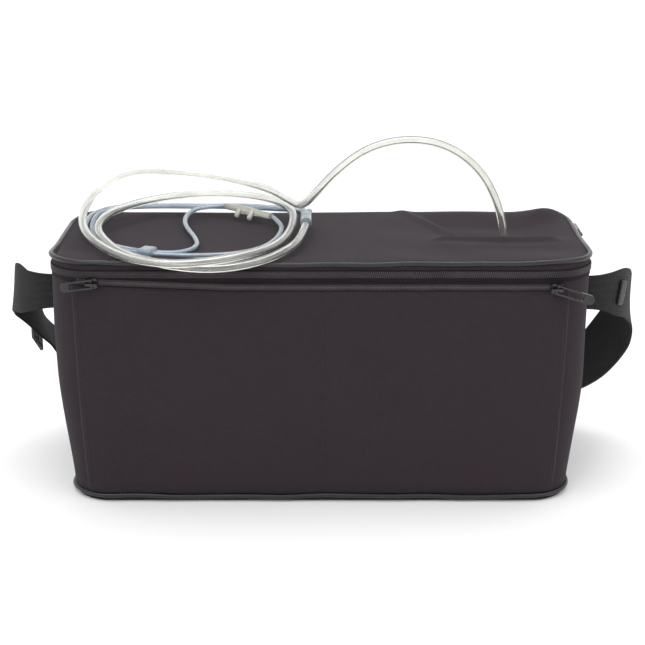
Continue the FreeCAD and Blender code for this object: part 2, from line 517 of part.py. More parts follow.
# ---- concentrator: compressor ----
def compressor():
    """Motor, crankcase on its base plate, crankshaft, two opposed pistons and cylinders."""
    base_z = CRANK_Z - MOTOR_R
    plate = box(CRANK_X - 62, -56, base_z - 4, CRANK_X + 62, 44, base_z)
    shell = box(CRANK_X - CYL_IN, CRANK_Y0, base_z, CRANK_X + CYL_IN, CRANK_Y1, CRANK_Z + 26)
    shell = shell.cut(box(CRANK_X - CYL_IN + 3, CRANK_Y0 + 3, base_z + 3,
                          CRANK_X + CYL_IN - 3, CRANK_Y1 - 3, CRANK_Z + 23))
    rod_y = (CRANK_Y0 + CRANK_Y1) / 2
    through = cylinder(BORE_R - 0.5, (CRANK_X - 40, rod_y, CRANK_Z), (1, 0, 0), 80)
    bearing = cylinder(4.4, (CRANK_X, CRANK_Y0 - 1, CRANK_Z), (0, 1, 0), 5)
    crankcase = fuse([plate, shell]).cut(through).cut(bearing)
    motor = cylinder(MOTOR_R, (CRANK_X, CRANK_Y0 - 1.5 - MOTOR_LEN, CRANK_Z), (0, 1, 0), MOTOR_LEN)
    motor = motor.cut(cylinder(4.4, (CRANK_X, CRANK_Y0 - 8, CRANK_Z), (0, 1, 0), 10))
    shaft = cylinder(4.0, (CRANK_X, CRANK_Y0 - 7, CRANK_Z), (0, 1, 0), 11)
    web_near = cylinder(10.5, (CRANK_X, rod_y - 10, CRANK_Z), (0, 1, 0), 4)
    web_far = cylinder(10.5, (CRANK_X, rod_y + 6, CRANK_Z), (0, 1, 0), 4)
    pin = cylinder(3.0, (CRANK_X, rod_y - 7, CRANK_Z + CRANK_THROW), (0, 1, 0), 14)
    journal = cylinder(4.0, (CRANK_X, CRANK_Y0 + 3.3, CRANK_Z), (0, 1, 0), 4)
    parts = {"crankcase": crankcase, "compressor_motor": motor,
             "crankshaft": fuse([shaft, journal, web_near, pin, web_far])}
    for side, name in ((-1, "left"), (1, "right")):
        face = (CRANK_X + side * CYL_IN, rod_y, CRANK_Z)
        barrel = cylinder(CYL_R, face, (side, 0, 0), CYL_LEN)
        barrel = barrel.cut(cylinder(BORE_R, face, (side, 0, 0), CYL_LEN - 4))
        parts["cylinder_" + name] = barrel
        head_at = (CRANK_X + side * (CYL_IN + 6), rod_y, CRANK_Z)
        head = cylinder(BORE_R - 0.3, head_at, (side, 0, 0), 13)
        x0, x1 = sorted((CRANK_X + side * 14, CRANK_X + side * (CYL_IN + 7)))
        rod = box(x0, rod_y - 4.5, CRANK_Z - 4, x1, rod_y + 4.5, CRANK_Z + 4)
        parts["piston_" + name] = fuse([head, rod])
    feet = [cylinder(7, (CRANK_X + dx, y, CASE_Z0 + CASE_WALL), (0, 0, 1),
                     base_z - 4 - CASE_Z0 - CASE_WALL) for dx in (-50, 50) for y in (-46, 34)]
    parts["vibration_mounts"] = Part.Compound(feet)
    return parts


# ---- concentrator: gas circuit, cooling and power ----
def gas_circuit():
    """Two sieve beds, the product tank, the manifold on top and its solenoid valves."""
    floor = CASE_Z0 + CASE_WALL
    beds = [cylinder(BED_R, (x, BED_Y, floor), (0, 0, 1), BED_TOP - floor) for x in BED_X]
    tank = cylinder(16, (119, -34, floor), (0, 0, 1), 105)
    manifold = box(74, -46, BED_TOP, 163, 48, BED_TOP + 10)
    solenoids = [cylinder(6.5, (x, -34, BED_TOP - 24), (0, 0, 1), 24) for x in (84, 104, 134, 154)]
    return {"sieve_beds": Part.Compound(beds), "product_tank": tank, "valve_manifold": manifold,
            "valve_solenoids": Part.Compound(solenoids)}


def cooling():
    """Fan frame with three struts and the bladed rotor."""
    half = FAN_SIDE / 2
    frame = box(FAN_X, -half, FAN_Z - half, FAN_X + 12, half, FAN_Z + half)
    frame = frame.cut(cylinder(27, (FAN_X - 1, 0, FAN_Z), (1, 0, 0), 14))
    struts = []
    for i in range(3):
        strut = box(FAN_X + 9.5, 0, FAN_Z - 1.5, FAN_X + 12, 28.5, FAN_Z + 1.5)
        strut.rotate(V(FAN_X, 0, FAN_Z), V(1, 0, 0), 120 * i + 30)
        struts.append(strut)
    hub_seat = cylinder(10, (FAN_X + 9.5, 0, FAN_Z), (1, 0, 0), 2.5)
    hub = cylinder(9, (FAN_X + 1, 0, FAN_Z), (1, 0, 0), 8)
    blades = []
    for i in range(FAN_BLADES):
        blade = box(-4, 8, -0.7, 4, 25, 0.7)
        blade.rotate(V(0, 0, 0), V(0, 1, 0), 35)
        blade.translate(V(FAN_X + 5, 0, FAN_Z))
        blade.rotate(V(FAN_X, 0, FAN_Z), V(1, 0, 0), 360.0 * i / FAN_BLADES)
        blades.append(blade)
    return {"fan_frame": fuse([frame, hub_seat] + struts), "fan_rotor": fuse([hub] + blades)}


def power():
    """Battery pack and the control board with its button switches."""
    floor = CASE_Z0 + CASE_WALL
    battery = box(-178, -62, floor, -104, 62, 118)
    uprights = [e for e in battery.Edges if abs(e.Vertexes[0].Z - e.Vertexes[-1].Z) > 1]
    board = [box(-96, -56, BOARD_Z, 20, 56, BOARD_Z + 1.6)]
    top = BOARD_Z + 1.6
    board += [cylinder(3.5, (x, CONTROL_Y, top), (0, 0, 1), BUTTON_Z0 - 1.5 - top)
              for x, _ in BUTTONS.values()]
    board += [box(x, 14, top, x + 14, 28, top + 3) for x in (-86, -60, -34, -8)]
    return {"battery_pack": battery.makeFillet(4, uprights), "control_board": fuse(board)}


# ---- build ----
def main():
    """Write every sub-part."""
    groups = (bag_walls(), bag_base(), front_pocket(), main_zip(), lid(), zip_hardware(), strap(),
              cannula(), cannula_fittings(), case(), vents(), controls(), compressor(),
              gas_circuit(), cooling(), power())
    for group in groups:
        for name, shape in group.items():
            save(name, shape)


main()
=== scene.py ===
import json
import math

import bpy
import numpy as np
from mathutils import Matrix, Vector


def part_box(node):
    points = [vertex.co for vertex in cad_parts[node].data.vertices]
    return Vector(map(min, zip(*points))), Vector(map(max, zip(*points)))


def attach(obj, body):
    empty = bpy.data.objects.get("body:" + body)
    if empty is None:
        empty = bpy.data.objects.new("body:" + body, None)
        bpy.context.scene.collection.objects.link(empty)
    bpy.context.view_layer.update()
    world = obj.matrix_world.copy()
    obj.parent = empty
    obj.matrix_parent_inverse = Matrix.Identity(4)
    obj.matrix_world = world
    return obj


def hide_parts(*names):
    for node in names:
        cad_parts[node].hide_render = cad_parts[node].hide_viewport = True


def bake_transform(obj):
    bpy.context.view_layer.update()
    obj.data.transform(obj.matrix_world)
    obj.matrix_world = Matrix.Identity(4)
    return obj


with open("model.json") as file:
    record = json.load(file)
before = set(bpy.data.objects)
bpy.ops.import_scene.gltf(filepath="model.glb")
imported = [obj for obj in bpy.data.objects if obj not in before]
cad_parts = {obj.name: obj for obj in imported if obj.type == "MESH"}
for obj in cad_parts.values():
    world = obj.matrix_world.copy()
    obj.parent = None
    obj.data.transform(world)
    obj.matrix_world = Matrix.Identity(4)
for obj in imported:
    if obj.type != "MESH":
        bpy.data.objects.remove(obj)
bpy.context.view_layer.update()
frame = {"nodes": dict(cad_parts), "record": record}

MM = 0.001
UNIT = "bag_and_unit"

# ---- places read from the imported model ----
LID_LOW, LID_HIGH = (np.array(v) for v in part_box("lid_panel"))
BASE_LOW, BASE_HIGH = (np.array(v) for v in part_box("base_panel"))
POCKET_LOW, POCKET_HIGH = (np.array(v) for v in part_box("front_pocket_panel"))
CHAIN_LOW = np.array(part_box("main_zip_upper_chain")[0])
TOP_SIZE = (LID_HIGH - LID_LOW)[:2]
BASE_SIZE = (BASE_HIGH - BASE_LOW)[:2] + 1 * MM
LID_TOP = LID_HIGH[2]
ZIP_Z = CHAIN_LOW[2] - 0.2 * MM
WAIST_SIZE = np.array([417.0, 167.0]) * MM
WAIST_Z = 78 * MM
CORNER_R = 34 * MM
WALL_T = 4 * MM
RIM_SHARE = 0.02      # share of the base over which its rim rounds up
POCKET_ZIP_Z = 179 * MM
SLIT_X0, SLIT_X1, SLIT_Y = 99 * MM, 183 * MM, -10 * MM

# ---- cannula routes, the same points as the part's source ----
ARCH_ROUTE = [(149, -9, 186.6), (148.5, -9.5, 199), (142, -12, 228), (127, -17, 256),
              (101, -23, 277), (69, -29, 284), (37, -34, 278), (12, -37, 260), (-5, -33, 240),
              (-15, -12, 225.5), (-25, 24, 222)]
# the coil, one row for each eighth of a turn or so: angle in degrees, reach from its middle, height
COIL_MIDDLE = (-102, -12)
COIL_STATIONS = [(25, 85, 222), (75, 91, 229), (125, 106, 237), (175, 90, 217), (225, 85, 205),
                 (262, 99, 204), (284, 99, 206.5), (308, 89, 207), (335, 77, 204.5), (362, 78, 207.5),
                 (390, 91, 213), (412, 96, 215.5), (450, 87, 217), (505, 83, 212), (564, 74, 206.5),
                 (610, 84, 202), (640, 87, 196.5), (660, 97, 199.5), (684, 95, 204.5), (711, 88, 205.5),
                 (728, 91, 208.5)]
COIL_STEP = 20
LEFT_ROUTE = [(-14.5, 30, 211.5), (-22, 46, 209), (-40, 60, 206.3), (-66, 70, 206), (-94, 73, 205),
              (-124, 74, 205.5), (-150, 69, 206.5), (-171, 55, 208.5), (-184.5, 32, 209.5),
              (-187, 12, 207), (-184.5, -8, 203), (-172, -31, 200.3), (-153, -48, 200.2),
              (-133, -59, 200.3), (-114, -63, 200.4), (-101, -54.5, 200.4), (-96.5, -36, 200.4),
              (-102, -10, 200.6), (-110, 15, 201), (-114, 37, 202.5), (-111, 55, 205),
              (-101, 66, 207), (-81, 69, 207)]
RIGHT_ROUTE = [(-9.5, 29, 211.5), (-17, 49.5, 209), (-37, 65, 206.3), (-64.5, 75.5, 206),
               (-94, 78.2, 205), (-126, 79, 205.5), (-153, 73.8, 206.5), (-175, 58.5, 208.5),
               (-189.3, 33.5, 209.5), (-192, 11, 207), (-189.5, -10.5, 203), (-176, -35, 200.3),
               (-156, -52.5, 200.2), (-134, -64, 200.3), (-109, -69.5, 200.4), (-84, -69.5, 200.4),
               (-61, -62.5, 200.4), (-45, -46, 200.4), (-36, -23, 200.6), (-32, 0, 201.5),
               (-32, 19, 203.5), (-41.5, 36.5, 206)]
TUBE_D, LARIAT_D = 6.5 * MM, 4 * MM
PRONG_BEND, PRONG_TIP = np.array([-1, -4, -0.5]), np.array([-3, -7, -4.5])

# ---- shoulder strap: x, y, z, and how far the webbing leans from upright, in degrees ----
STRAP_ROUTE = [(-211, -27, 160, 0), (-226, -29, 160, 0), (-243, -22, 159, 3), (-251, -5, 157, 8),
               (-251, 12, 150, 0), (-245, 26, 134, -22), (-238, 38, 112, -42), (-228, 56, 86, -44),
               (-204, 88, 56, -16), (-162, 112, 33, 0), (-112, 120, 22, 0), (-60, 118, 21, 0),
               (-8, 124, 21, 0), (50, 120, 21, 0), (106, 122, 22, 0), (160, 114, 28, 0),
               (204, 96, 40, 6), (232, 76, 60, 12), (247, 60, 86, 16), (256, 44, 112, 16),
               (259, 22, 136, 8), (253, -2, 150, 0), (243, -20, 157, 0), (229, -28, 159, 0),
               (213, -28, 159, 0)]
STRAP_W, STRAP_T = 40 * MM, 1.7 * MM


# ---- mesh helpers ----
def new_object(name, data, body, material):
    """Link an object, ride it on a body and give it its material."""
    obj = bpy.data.objects.new(name, data)
    bpy.context.scene.collection.objects.link(obj)
    data.materials.append(material)
    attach(obj, body)
    return obj


def mesh_object(name, verts, faces, body, material, uvs=None, smooth=True):
    """Mesh object from points and faces; uvs has one pair for each vertex."""
    mesh = bpy.data.meshes.new(name)
    mesh.from_pydata([tuple(v) for v in verts], [], [tuple(f) for f in faces])
    mesh.update()
    if uvs is not None:
        layer = mesh.uv_layers.new(name="UVMap")
        loops = np.zeros(len(mesh.loops), dtype=np.int32)
        mesh.loops.foreach_get("vertex_index", loops)
        layer.data.foreach_set("uv", np.asarray(uvs, dtype=np.float32)[loops].ravel())
    if smooth:
        mesh.shade_smooth()
    return new_object(name, mesh, body, material)


def grid_faces(rows, cols, closed_cols=False, closed_rows=False, start=0, flip=False):
    """Quads of a grid of rows x cols vertices."""
    faces = []
    for i in range(rows if closed_rows else rows - 1):
        for j in range(cols if closed_cols else cols - 1):
            a = start + i * cols + j
            b = start + i * cols + (j + 1) % cols
            c = start + ((i + 1) % rows) * cols + (j + 1) % cols
            d = start + ((i + 1) % rows) * cols + j
            faces.append((a, d, c, b) if flip else (a, b, c, d))
    return faces


def thick_grid(points, normals, thickness, closed_cols=False):
    """Closed sheet: the outer grid, an inner grid and rims along its open edges."""
    rows, cols, _ = points.shape
    inner = points - normals * thickness
    verts = np.concatenate([points.reshape(-1, 3), inner.reshape(-1, 3)])
    n = rows * cols
    faces = grid_faces(rows, cols, closed_cols)
    faces += grid_faces(rows, cols, closed_cols, start=n, flip=True)
    edge = []
    span = cols if closed_cols else cols - 1
    for j in range(span):
        k = (j + 1) % cols
        edge.append((k, j))
        edge.append(((rows - 1) * cols + j, (rows - 1) * cols + k))
    if not closed_cols:
        for i in range(rows - 1):
            edge.append((i * cols, (i + 1) * cols))
            edge.append(((i + 1) * cols + cols - 1, i * cols + cols - 1))
    faces += [(a, b, b + n, a + n) for a, b in edge]
    return verts, faces


def frames_along(points, up=None):
    """Tangent and two side vectors at each point; up fixes the sides, or they turn least."""
    p = np.asarray(points, float)
    t = np.gradient(p, axis=0)
    t /= np.linalg.norm(t, axis=1)[:, None]
    side = np.zeros_like(p)
    if up is not None:
        side = np.cross(t, np.broadcast_to(up, p.shape))
    else:
        first = np.cross(t[0], (0, 0, 1.0) if abs(t[0][2]) < 0.9 else (1.0, 0, 0))
        side[0] = first
        for i in range(1, len(p)):
            side[i] = side[i - 1] - t[i] * np.dot(side[i - 1], t[i])
    side /= np.linalg.norm(side, axis=1)[:, None]
    return t, side, np.cross(side, t)


def sweep(points, section, up=None, closed=False, capped=True):
    """Vertices, faces and uvs of a closed section (N x 2, in metres) swept along points."""
    p = np.asarray(points, float)
    if closed:
        padded = np.concatenate([p[-2:], p, p[:2]])
        _, side, lift = frames_along(padded, up)
        side, lift = side[2:-2], lift[2:-2]
    else:
        _, side, lift = frames_along(p, up)
    sec = np.asarray(section, float)
    if sec.ndim == 2:
        sec = np.broadcast_to(sec, (len(p),) + sec.shape)
    verts = p[:, None] + side[:, None] * sec[:, :, :1] + lift[:, None] * sec[:, :, 1:]
    rows, cols = verts.shape[:2]
    faces = grid_faces(rows, cols, closed_cols=True, closed_rows=closed, flip=True)
    if capped and not closed:
        faces.append(tuple(range(cols)))
        faces.append(tuple((rows - 1) * cols + j for j in reversed(range(cols))))
    length = np.concatenate([[0], np.cumsum(np.linalg.norm(np.diff(p, axis=0), axis=1))])
    around = np.linspace(0, 1, cols, endpoint=False)
    uv = np.stack(np.broadcast_arrays(length[:, None], around[None, :]), axis=-1)
    return verts.reshape(-1, 3), faces, uv.reshape(-1, 2)


def circle(r, n=12):
    """Round section."""
    a = np.arange(n) * 2 * math.pi / n
    return np.stack([np.cos(a), np.sin(a)], 1) * r


def capsules(starts, ends, radius, sides=6):
    """Many short rods with rounded ends, as one mesh."""
    verts, faces = [], []
    for a, b in zip(starts, ends):
        a, b = Vector(a), Vector(b)
        axis = (b - a).normalized()
        u = axis.orthogonal().normalized()
        v = axis.cross(u)
        base = len(verts)
        stations = [(a - axis * radius * 0.6, 0.5), (a, 1.0), (b, 1.0), (b + axis * radius * 0.6, 0.5)]
        for centre, scale in stations:
            for k in range(sides):
                angle = 2 * math.pi * k / sides
                verts.append(centre + (u * math.cos(angle) + v * math.sin(angle)) * radius * scale)
        faces += grid_faces(len(stations), sides, closed_cols=True, start=base, flip=False)
        faces.append(tuple(base + k for k in reversed(range(sides))))
        faces.append(tuple(base + (len(stations) - 1) * sides + k for k in range(sides)))
    return verts, faces


def smooth_step(x):
    """0 below 0, 1 above 1, smooth between."""
    t = np.clip(x, 0, 1)
    return t * t * (3 - 2 * t)


# ---- the bag's soft surface ----
def footprint(z):
    """Width and depth of the bag at a height."""
    z = np.asarray(z, float)[..., None]
    low = BASE_SIZE + (WAIST_SIZE - BASE_SIZE) * smooth_step(z / (1.35 * WAIST_Z)) ** 0.9
    return low + (TOP_SIZE - WAIST_SIZE) * smooth_step((z - WAIST_Z) / (ZIP_Z - WAIST_Z))


def ring_of(counts):
    """Stations round the outline: segment number and place in it, anticlockwise from the back."""
    stations = []
    for segment, n in enumerate(counts):
        stations += [(segment, k / n) for k in range(n)]
    return stations


BACK_HALF, CORNER, SIDE, FRONT = 60, 16, 34, 130
FULL_RING = ring_of([BACK_HALF, CORNER, SIDE, CORNER, FRONT, CORNER, SIDE, CORNER, BACK_HALF])


def outline_at(station, size, r):
    """Point, outward normal and distance along the outline, for one station."""
    segment, t = station
    hw, hd = size[0] / 2, size[1] / 2
    arc = math.pi / 2 * r
    lengths = [hw - r, arc, 2 * (hd - r), arc, 2 * (hw - r), arc, 2 * (hd - r), arc, hw - r]
    along = sum(lengths[:segment]) + t * lengths[segment]
    a = t * math.pi / 2
    straight = {0: ((-(hw - r) * t, hd), (0, 1)),
                2: ((-hw, (hd - r) * (1 - 2 * t)), (-1, 0)),
                4: (((hw - r) * (2 * t - 1), -hd), (0, -1)),
                6: ((hw, (hd - r) * (2 * t - 1)), (1, 0)),
                8: (((hw - r) * (1 - t), hd), (0, 1))}
    if segment in straight:
        point, normal = straight[segment]
    else:
        centre, first = {1: ((-(hw - r), hd - r), math.pi / 2), 3: ((-(hw - r), -(hd - r)), math.pi),
                         5: ((hw - r, -(hd - r)), 1.5 * math.pi), 7: ((hw - r, hd - r), 0)}[segment]
        normal = (math.cos(first + a), math.sin(first + a))
        point = (centre[0] + r * normal[0], centre[1] + r * normal[1])
    return point, normal, along


def swell(along, z):
    """How far the stuffed cloth stands out or dips, at a distance round the bag and a height."""
    t = np.clip(z / ZIP_Z, 0, 1)
    wave = lambda length, phase: np.sin(2 * math.pi * along / length + phase)
    soft = 1.3 * np.sin(math.pi * t) + 0.55 * wave(0.171, 0.4) * np.sin(math.pi * t)
    soft = soft + 0.35 * wave(0.083, 1.7) * np.sin(3.1 * math.pi * t + 0.6)
    soft = soft + 0.22 * wave(0.037, 0.9) * np.exp(-((t - 0.93) / 0.06) ** 2)
    soft = soft + 0.25 * wave(0.046, 2.2) * np.exp(-(t / 0.10) ** 2)
    return soft * MM


def wall(stations, heights, offset=0.0):
    """Points and normals on the bag's soft wall, rows by height; offset moves them outwards."""
    points = np.zeros((len(heights), len(stations), 3))
    normals = np.zeros_like(points)
    uv = np.zeros((len(heights), len(stations), 2))
    for i, z in enumerate(heights):
        size = footprint(z)
        for j, station in enumerate(stations):
            (x, y), (nx, ny), along = outline_at(station, size, CORNER_R)
            out = offset + swell(along, z)
            points[i, j] = (x + nx * out, y + ny * out, z)
            normals[i, j] = (nx, ny, 0)
            uv[i, j] = (along, z)
    return points, normals, uv


def front_station(x, z=ZIP_Z):
    """Station on the front at a given x; past the straight part it goes round the corner."""
    hw = footprint(z)[0] / 2
    reach = hw - CORNER_R
    if abs(x) <= reach:
        return (4, (x / reach + 1) / 2)
    turn = math.asin(min(1.0, (abs(x) - reach) / CORNER_R)) / (math.pi / 2)
    return (3, 1 - turn) if x < 0 else (5, turn)


def pocket_zip_height(x):
    """Height of the pocket zip's middle line, which climbs towards its left end."""
    return POCKET_ZIP_Z + 4.8 * MM * np.clip((-70 * MM - x) / (116 * MM), 0, 1)


def lid_height(x, y):
    """Height of the lid's cloth: nearly flat under the coil, creased and sunk behind the slit."""
    x, y = np.asarray(x) / MM, np.asarray(y) / MM
    z = -0.25 - 0.3 * np.sin(x / 31.0) * np.sin(y / 19.0 + 0.5)
    right = smooth_step((x - 20) / 60)
    z = z + right * (0.9 + 0.7 * np.sin(x / 17.0 + y / 23.0) * np.sin(y / 21.0))
    crease = (x - 70) * 0.906 + (y - 82) * 0.423
    behind = y + 9.0
    sunk = smooth_step(crease / 14) * smooth_step(behind / 5) * smooth_step((204 - x) / 46)
    z = z - 6.2 * sunk * smooth_step((84 - y) / 46)
    z = z + 1.8 * np.exp(-(crease / 5.5) ** 2) * smooth_step(behind / 8) * right
    window = smooth_step((x - 84) / 18) * smooth_step((198 - x) / 16)
    z = z + 3.4 * np.exp(-((y + 15.5) / 6.5) ** 2) * window
    z = z + 1.2 * np.exp(-((y + 32) / 9.0) ** 2) * window
    for cx, cy, height, spread in ((191, 70, 6.0, 17), (-192, 70, 4.0, 15)):
        z = z + height * np.exp(-((x - cx) ** 2 + (y - cy) ** 2) / spread ** 2)
    return LID_TOP + z * MM


def lid_edge_drop(x, y):
    """The lid's front edge stands higher at its left end and wavers a little."""
    front = smooth_step((-y / MM - 10) / 60)
    x = np.asarray(x) / (210 * MM)
    rise = 0.5 - 0.9 * x + 1.9 * x * x
    waver = 0.35 * np.sin(x * 9.1) + 0.25 * np.sin(x * 22 + 1)
    return (rise + waver) * front * MM


# ---- materials ----
def node_material(name):
    """New material; returns it with its nodes, links and Principled shader."""
    mat = bpy.data.materials.new(name)
    mat.use_nodes = True
    nodes, links = mat.node_tree.nodes, mat.node_tree.links
    return mat, nodes, links, nodes["Principled BSDF"]


def math_node(nodes, links, operation, a, b=None):
    """Math node with sockets or numbers as its inputs."""
    node = nodes.new("ShaderNodeMath")
    node.operation = operation
    for socket, value in zip(node.inputs, (a, b)):
        if value is None:
            continue
        if isinstance(value, (int, float)):
            socket.default_value = value
        else:
            links.new(value, socket)
    return node.outputs[0]


def noise(nodes, links, scale, detail=3.0, vector=None):
    """Noise factor in object space."""
    if vector is None:
        vector = nodes.new("ShaderNodeTexCoord").outputs["Object"]
    tex = nodes.new("ShaderNodeTexNoise")
    tex.inputs["Scale"].default_value = scale
    tex.inputs["Detail"].default_value = detail
    links.new(vector, tex.inputs["Vector"])
    return tex.outputs["Fac"]


def colour_between(nodes, links, factor, low, high, start=0.3, end=0.7):
    """Colour ramp driven by a factor."""
    ramp = nodes.new("ShaderNodeValToRGB")
    ramp.color_ramp.elements[0].position = start
    ramp.color_ramp.elements[1].position = end
    ramp.color_ramp.elements[0].color = (*low, 1)
    ramp.color_ramp.elements[1].color = (*high, 1)
    links.new(factor, ramp.inputs["Fac"])
    return ramp.outputs["Color"]


def bump(nodes, links, height, strength, distance, shader):
    """Bump from a height, on the shader's normal."""
    node = nodes.new("ShaderNodeBump")
    node.inputs["Strength"].default_value = strength
    node.inputs["Distance"].default_value = distance
    links.new(height, node.inputs["Height"])
    links.new(node.outputs["Normal"], shader.inputs["Normal"])


def woven(name, dark, light, pitch, roughness=0.9, sheen=0.04, depth=0.2 * MM):
    """Cloth of crossed threads on the mesh's own uv, which is in metres."""
    mat, nodes, links, shader = node_material(name)
    uv = nodes.new("ShaderNodeSeparateXYZ")
    links.new(nodes.new("ShaderNodeTexCoord").outputs["UV"], uv.inputs[0])
    k = math.pi / pitch
    waves = []
    for axis in ("X", "Y"):
        phase = math_node(nodes, links, "MULTIPLY", uv.outputs[axis], k)
        waves.append(math_node(nodes, links, "SINE", phase))
    cross = math_node(nodes, links, "MULTIPLY", waves[0], waves[1])
    threads = math_node(nodes, links, "ABSOLUTE", cross)
    mottle = noise(nodes, links, 240.0, 4.0)
    cloudy = noise(nodes, links, 18.0, 2.0)
    mixed = math_node(nodes, links, "MULTIPLY_ADD", threads, 0.45)
    add = nodes.new("ShaderNodeMath")
    add.operation = "MULTIPLY_ADD"
    links.new(mottle, add.inputs[0])
    add.inputs[1].default_value = 0.5
    links.new(mixed, add.inputs[2])
    total = math_node(nodes, links, "ADD", add.outputs[0], math_node(nodes, links, "MULTIPLY", cloudy, 0.35))
    links.new(colour_between(nodes, links, total, dark, light, 0.25, 1.1), shader.inputs["Base Color"])
    shader.inputs["Roughness"].default_value = roughness
    shader.inputs["Sheen Weight"].default_value = sheen
    shader.inputs["Sheen Roughness"].default_value = 0.5
    shader.inputs["Specular IOR Level"].default_value = 0.16
    bump(nodes, links, threads, 0.6, depth, shader)
    return mat


def plastic(name, dark, light, roughness=0.4, grain=900.0, depth=0.03 * MM, coat=0.0):
    """Moulded or coated surface with a fine grain and slightly uneven colour."""
    mat, nodes, links, shader = node_material(name)
    cloudy = noise(nodes, links, 60.0, 3.0)
    links.new(colour_between(nodes, links, cloudy, dark, light), shader.inputs["Base Color"])
    rough = math_node(nodes, links, "MULTIPLY_ADD", noise(nodes, links, 150.0), 0.25)
    rough.node.inputs[2].default_value = roughness - 0.12
    links.new(rough, shader.inputs["Roughness"])
    shader.inputs["Coat Weight"].default_value = coat
    bump(nodes, links, noise(nodes, links, grain, 2.0), 0.35, depth, shader)
    return mat


def metal(name, dark, light, roughness=0.3):
    """Machined or cast metal."""
    mat = plastic(name, dark, light, roughness, 500.0, 0.02 * MM)
    mat.node_tree.nodes["Principled BSDF"].inputs["Metallic"].default_value = 1.0
    return mat


def vinyl(name, dark, light, transmission, roughness=0.12):
    """Soft clear tubing: part milky, part transparent."""
    mat, nodes, links, shader = node_material(name)
    cloudy = noise(nodes, links, 45.0, 2.0)
    links.new(colour_between(nodes, links, cloudy, dark, light), shader.inputs["Base Color"])
    shader.inputs["Transmission Weight"].default_value = transmission
    shader.inputs["IOR"].default_value = 1.42
    shader.inputs["Coat Weight"].default_value = 0.3
    shader.inputs["Coat Roughness"].default_value = 0.05
    rough = math_node(nodes, links, "MULTIPLY_ADD", noise(nodes, links, 130.0), 0.1)
    rough.node.inputs[2].default_value = roughness
    links.new(rough, shader.inputs["Roughness"])
    return mat


M = {
    "nylon": woven("pack_cloth", (0.003, 0.002, 0.0028), (0.026, 0.019, 0.024), 1.5 * MM),
    "tape": woven("zip_tape", (0.005, 0.004, 0.005), (0.013, 0.009, 0.012), 0.8 * MM, 0.9, 0.02),
    "webbing": woven("strap_webbing", (0.002, 0.002, 0.002), (0.028, 0.027, 0.028), 2.6 * MM,
                     0.8, 0.04, 0.6 * MM),
    "piping": plastic("vinyl_piping", (0.003, 0.003, 0.0035), (0.006, 0.006, 0.007), 0.30, coat=0.05),
    "thread": plastic("stitching", (0.016, 0.013, 0.015), (0.028, 0.023, 0.026), 0.75),
    "teeth": plastic("zip_teeth", (0.030, 0.024, 0.028), (0.050, 0.041, 0.046), 0.38),
    "zip_metal": plastic("black_enamel", (0.003, 0.003, 0.0035), (0.008, 0.008, 0.009), 0.25, coat=0.2),
    "buckle": plastic("buckle_acetal", (0.008, 0.008, 0.009), (0.018, 0.018, 0.020), 0.28, coat=0.15),
    "clear": vinyl("clear_tubing", (0.82, 0.83, 0.79), (0.93, 0.93, 0.90), 0.94, 0.03),
    "blue": vinyl("blue_tubing", (0.60, 0.71, 0.80), (0.74, 0.82, 0.89), 0.80),
    "soft": vinyl("nosepiece_vinyl", (0.72, 0.71, 0.62), (0.85, 0.84, 0.77), 0.6, 0.15),
    "case": plastic("case_moulding", (0.50, 0.51, 0.50), (0.60, 0.61, 0.60), 0.5, 700.0, 0.05 * MM),
    "panel": plastic("membrane", (0.07, 0.10, 0.14), (0.10, 0.13, 0.18), 0.45),
    "black": plastic("black_moulding", (0.018, 0.018, 0.020), (0.035, 0.035, 0.038), 0.45),
    "green": plastic("green_key", (0.03, 0.26, 0.09), (0.06, 0.34, 0.13), 0.35),
    "white": plastic("white_key", (0.62, 0.62, 0.58), (0.74, 0.74, 0.70), 0.35),
    "lamp": plastic("lamp_lens", (0.62, 0.45, 0.06), (0.80, 0.62, 0.12), 0.2),
    "foam": plastic("foam", (0.030, 0.030, 0.032), (0.060, 0.060, 0.064), 0.95, 350.0, 0.4 * MM),
    "rubber": plastic("rubber_mounts", (0.012, 0.012, 0.012), (0.028, 0.028, 0.028), 0.8),
    "board": plastic("circuit_board", (0.015, 0.12, 0.05), (0.03, 0.20, 0.08), 0.4),
    "alloy": metal("cast_alloy", (0.52, 0.53, 0.54), (0.68, 0.69, 0.70), 0.4),
    "steel": metal("steel", (0.42, 0.42, 0.43), (0.60, 0.60, 0.61), 0.3),
    "brass": metal("brass", (0.62, 0.46, 0.20), (0.78, 0.62, 0.32), 0.3),
}
SLOT_MATERIALS = {
    "nylon": "nylon", "piping": "piping", "pad_foam": "foam", "zip_chain": "teeth",
    "zip_metal": "zip_metal", "webbing": "webbing", "buckle_plastic": "buckle",
    "clear_tube": "clear", "blue_tube": "blue", "soft_nosepiece": "soft", "case_plastic": "case",
    "panel_plastic": "panel", "dark_plastic": "black", "button_green": "green",
    "button_white": "white", "lamp": "lamp", "brass": "brass", "filter_foam": "foam",
    "steel": "steel", "alloy": "alloy", "rubber": "rubber", "board": "board"}


def dress_cad_nodes():
    """Give every carried-over node the material of its slot."""
    for part in frame["record"]["subparts"]:
        obj = frame["nodes"][part["node"]]
        material = M[SLOT_MATERIALS[part["material_slot"]]]
        if not obj.data.materials:
            obj.data.materials.append(material)
        for k in range(len(obj.material_slots)):
            obj.material_slots[k].material = material


